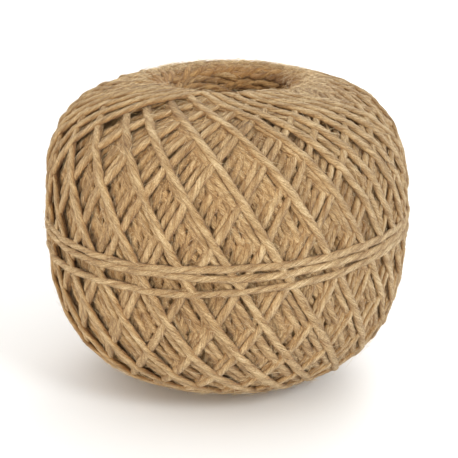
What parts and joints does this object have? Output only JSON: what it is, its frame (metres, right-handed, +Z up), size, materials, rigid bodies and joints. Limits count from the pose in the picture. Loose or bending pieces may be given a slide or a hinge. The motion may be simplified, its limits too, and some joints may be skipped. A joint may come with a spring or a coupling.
{
  "type": "ball of twine",
  "caption": "Wound ball of natural jute twine with a round hole from end to end, criss-cross turns and belly turns that bind it.",
  "frame": {"origin": "centre of the flat spot that the ball rests on, on the axis of its hole", "axes": "+Z up along the axis of the hole, -Y towards the front"},
  "size_m": [0.0804, 0.0797, 0.0665],
  "materials": {
    "jute_twine": "two-ply natural jute, matt and slightly fuzzy, straw to light brown"
  },
  "bodies": {
    "root": {"wound_ball": "jute_twine"}
  },
  "joints": []
}
